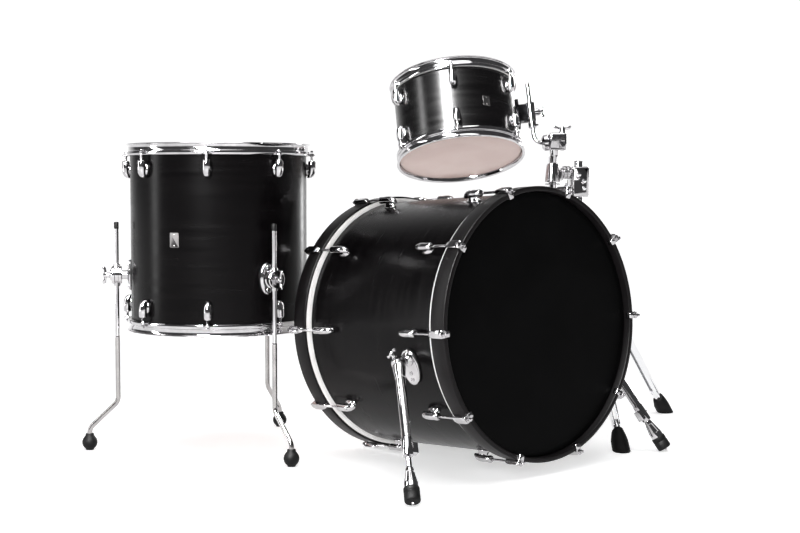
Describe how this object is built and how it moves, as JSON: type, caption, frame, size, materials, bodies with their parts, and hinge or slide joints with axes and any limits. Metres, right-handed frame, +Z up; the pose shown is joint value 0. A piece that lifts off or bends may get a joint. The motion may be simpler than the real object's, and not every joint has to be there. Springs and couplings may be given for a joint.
{
  "type": "acoustic drum kit",
  "caption": "Acoustic drum kit: bass drum on folding spurs, floor tom on sliding legs, and a tilting rack tom on a folding tripod stand.",
  "frame": {"origin": "on the floor under the middle of the kit's box", "axes": "+X to the audience's right, along the kit's longest side, +Y towards the drummer, +Z up"},
  "size_m": [1.4748, 1.0062, 0.931],
  "materials": {
    "shell_wood": "dark stain under a satin lacquer",
    "hoop_wood": "satin black lacquer",
    "black_head": "satin black film",
    "white_head": "rough white coating",
    "clear_head": "clear gloss film",
    "chrome": "polished",
    "rubber": "moulded matte"
  },
  "bodies": {
    "kit_base": {"bass_shell": "shell_wood", "bass_front_head": "black_head", "bass_rear_head": "white_head", "bass_head_rings": "chrome", "bass_hoops": "hoop_wood", "bass_lugs": "chrome", "bass_claws": "chrome", "bass_tension_rods": "chrome", "spur_brackets": "chrome", "floor_tom_shell": "shell_wood", "floor_tom_batter_head": "white_head", "floor_tom_resonant_head": "clear_head", "floor_tom_hoops": "chrome", "floor_tom_lugs": "chrome", "floor_tom_tension_rods": "chrome", "floor_tom_leg_brackets": "chrome", "stand_base_tube": "chrome", "stand_height_clamp": "chrome"},
    "left_spur": {"left_spur_tube": "chrome"},
    "left_spur_rod": {"left_spur_rod": "chrome", "left_spur_tip": "rubber"},
    "left_spur_key": {"left_spur_key": "chrome"},
    "right_spur": {"right_spur_tube": "chrome"},
    "right_spur_rod": {"right_spur_rod": "chrome", "right_spur_tip": "rubber"},
    "right_spur_key": {"right_spur_key": "chrome"},
    "floor_tom_leg_1": {"floor_tom_leg_1": "chrome", "floor_tom_foot_1": "rubber"},
    "floor_tom_wing_bolt_1": {"floor_tom_wing_bolt_1": "chrome"},
    "floor_tom_leg_2": {"floor_tom_leg_2": "chrome", "floor_tom_foot_2": "rubber"},
    "floor_tom_wing_bolt_2": {"floor_tom_wing_bolt_2": "chrome"},
    "floor_tom_leg_3": {"floor_tom_leg_3": "chrome", "floor_tom_foot_3": "rubber"},
    "floor_tom_wing_bolt_3": {"floor_tom_wing_bolt_3": "chrome"},
    "stand_leg_collar": {"stand_leg_collar": "chrome"},
    "stand_leg_1": {"stand_leg_1": "chrome", "stand_foot_1": "rubber"},
    "stand_brace_1": {"stand_brace_1": "chrome"},
    "stand_leg_2": {"stand_leg_2": "chrome", "stand_foot_2": "rubber"},
    "stand_brace_2": {"stand_brace_2": "chrome"},
    "stand_leg_3": {"stand_leg_3": "chrome", "stand_foot_3": "rubber"},
    "stand_brace_3": {"stand_brace_3": "chrome"},
    "stand_upper_tube": {"stand_upper_tube": "chrome"},
    "stand_wing_bolt": {"stand_wing_bolt": "chrome"},
    "tom_clamp": {"tom_clamp": "chrome", "tom_clamp_screws": "chrome"},
    "tom_holder_post": {"tom_holder_post": "chrome"},
    "tom_holder_handle": {"tom_holder_handle": "chrome"},
    "tom_holder_rod": {"tom_holder_rod": "chrome"},
    "rack_tom": {"rack_tom_shell": "shell_wood", "rack_tom_batter_head": "white_head", "rack_tom_resonant_head": "clear_head", "rack_tom_hoops": "chrome", "rack_tom_lugs": "chrome", "rack_tom_tension_rods": "chrome", "rack_tom_bracket": "chrome"},
    "rack_tom_wing_bolt": {"rack_tom_wing_bolt": "chrome"}
  },
  "joints": [
    {"name": "left_spur_fold", "type": "hinge", "parent": "kit_base", "child": "left_spur", "pos_m": [-0.44111, -0.32071, 0.24987], "axis": [-0.9659, -0.0144, -0.2584], "range_deg": [0, 80]},
    {"name": "left_spur_length", "type": "slide", "parent": "left_spur", "child": "left_spur_rod", "axis": [-0.3642, -0.5377, -0.7604], "range_m": [-0.02, 0.04]},
    {"name": "left_spur_key_turn", "type": "hinge", "parent": "left_spur", "child": "left_spur_key", "pos_m": [-0.44392, -0.3121, 0.25988], "axis": [-0.208, 0.6373, 0.742], "continuous": true},
    {"name": "right_spur_fold", "type": "hinge", "parent": "kit_base", "child": "right_spur", "pos_m": [0.16786, -0.32071, 0.24987], "axis": [-0.9659, 0.0144, 0.2584], "range_deg": [0, 80]},
    {"name": "right_spur_length", "type": "slide", "parent": "right_spur", "child": "right_spur_rod", "axis": [0.3189, -0.4584, -0.8296], "range_m": [-0.02, 0.04]},
    {"name": "right_spur_key_turn", "type": "hinge", "parent": "right_spur", "child": "right_spur_key", "pos_m": [0.17091, -0.31354, 0.26089], "axis": [0.2264, 0.5312, 0.8165], "continuous": true},
    {"name": "floor_tom_leg_1_height", "type": "slide", "parent": "kit_base", "child": "floor_tom_leg_1", "axis": [0, 0, 1], "range_m": [-0.06, 0.1]},
    {"name": "floor_tom_wing_bolt_1_turn", "type": "hinge", "parent": "kit_base", "child": "floor_tom_wing_bolt_1", "pos_m": [-0.48712, 0.02673, 0.406], "axis": [-0.0698, -0.9976, 0], "continuous": true},
    {"name": "floor_tom_leg_2_height", "type": "slide", "parent": "kit_base", "child": "floor_tom_leg_2", "axis": [0, 0, 1], "range_m": [-0.06, 0.1]},
    {"name": "floor_tom_wing_bolt_2_turn", "type": "hinge", "parent": "kit_base", "child": "floor_tom_wing_bolt_2", "pos_m": [-0.67861, 0.41935, 0.406], "axis": [-0.829, 0.5592, 0], "continuous": true},
    {"name": "floor_tom_leg_3_height", "type": "slide", "parent": "kit_base", "child": "floor_tom_leg_3", "axis": [0, 0, 1], "range_m": [-0.06, 0.1]},
    {"name": "floor_tom_wing_bolt_3_turn", "type": "hinge", "parent": "kit_base", "child": "floor_tom_wing_bolt_3", "pos_m": [-0.24285, 0.38888, 0.406], "axis": [0.8988, 0.4384, 0], "continuous": true},
    {"name": "tripod_fold", "type": "slide", "parent": "kit_base", "child": "stand_leg_collar", "axis": [0, 0, 1], "range_m": [0, 0.0609]},
    {"name": "stand_leg_1_fold", "type": "hinge", "parent": "stand_leg_collar", "child": "stand_leg_1", "pos_m": [0.34711, -0.12237, 0.42], "axis": [0.8526, -0.5225, 0], "range_deg": [0, 25.5]},
    {"name": "stand_brace_1_fold", "type": "hinge", "parent": "kit_base", "child": "stand_brace_1", "pos_m": [0.34711, -0.12237, 0.14835], "axis": [-0.8526, 0.5225, 0], "range_deg": [0, 25.5]},
    {"name": "stand_leg_2_fold", "type": "hinge", "parent": "stand_leg_collar", "child": "stand_leg_2", "pos_m": [0.39886, -0.09427, 0.42], "axis": [0.0262, 0.9997, 0], "range_deg": [0, 25.5]},
    {"name": "stand_brace_2_fold", "type": "hinge", "parent": "kit_base", "child": "stand_brace_2", "pos_m": [0.39886, -0.09427, 0.14835], "axis": [-0.0262, -0.9997, 0], "range_deg": [0, 25.5]},
    {"name": "stand_leg_3_fold", "type": "hinge", "parent": "stand_leg_collar", "child": "stand_leg_3", "pos_m": [0.34865, -0.0635, 0.42], "axis": [-0.8788, -0.4772, 0], "range_deg": [0, 25.5]},
    {"name": "stand_brace_3_fold", "type": "hinge", "parent": "kit_base", "child": "stand_brace_3", "pos_m": [0.34865, -0.0635, 0.14835], "axis": [0.8788, 0.4772, 0], "range_deg": [0, 25.5]},
    {"name": "stand_height", "type": "slide", "parent": "kit_base", "child": "stand_upper_tube", "axis": [0, 0, 1], "range_m": [-0.03, 0.15]},
    {"name": "stand_wing_bolt_turn", "type": "hinge", "parent": "kit_base", "child": "stand_wing_bolt", "pos_m": [0.36488, -0.12768, 0.523], "axis": [0, -1, 0], "continuous": true},
    {"name": "tom_clamp_swing", "type": "hinge", "parent": "stand_upper_tube", "child": "tom_clamp", "pos_m": [0.36488, -0.09338, 0.62], "axis": [0, 0, 1], "range_deg": [-20, 20]},
    {"name": "tom_post_swivel", "type": "hinge", "parent": "tom_clamp", "child": "tom_holder_post", "pos_m": [0.30753, -0.05806, 0.62], "axis": [0, 0, 1], "range_deg": [-20, 20]},
    {"name": "tom_holder_handle_turn", "type": "hinge", "parent": "tom_holder_post", "child": "tom_holder_handle", "pos_m": [0.32488, -0.07465, 0.7479], "axis": [0, 0, 1], "continuous": true},
    {"name": "tom_tilt", "type": "hinge", "parent": "tom_holder_post", "child": "tom_holder_rod", "pos_m": [0.31621, -0.06636, 0.7225], "axis": [0.7185, -0.6868, 0.1099], "range_deg": [-15, 15]},
    {"name": "rack_tom_turn", "type": "hinge", "parent": "tom_holder_rod", "child": "rack_tom", "pos_m": [0.28864, -0.00047, 0.7958], "axis": [0.1575, 0.3146, 0.9361], "range_deg": [-15, 15]},
    {"name": "rack_tom_wing_bolt_turn", "type": "hinge", "parent": "rack_tom", "child": "rack_tom_wing_bolt", "pos_m": [0.30323, -0.01441, 0.79804], "axis": [0.7185, -0.6868, 0.1099], "continuous": true}
  ],
  "couplings": [
    {"joint": "stand_leg_1_fold", "follows": "tripod_fold", "rad_per_m": 7.1533},
    {"joint": "stand_brace_1_fold", "follows": "tripod_fold", "rad_per_m": 7.1533},
    {"joint": "stand_leg_2_fold", "follows": "tripod_fold", "rad_per_m": 7.1533},
    {"joint": "stand_brace_2_fold", "follows": "tripod_fold", "rad_per_m": 7.1533},
    {"joint": "stand_leg_3_fold", "follows": "tripod_fold", "rad_per_m": 7.1533},
    {"joint": "stand_brace_3_fold", "follows": "tripod_fold", "rad_per_m": 7.1533}
  ]
}
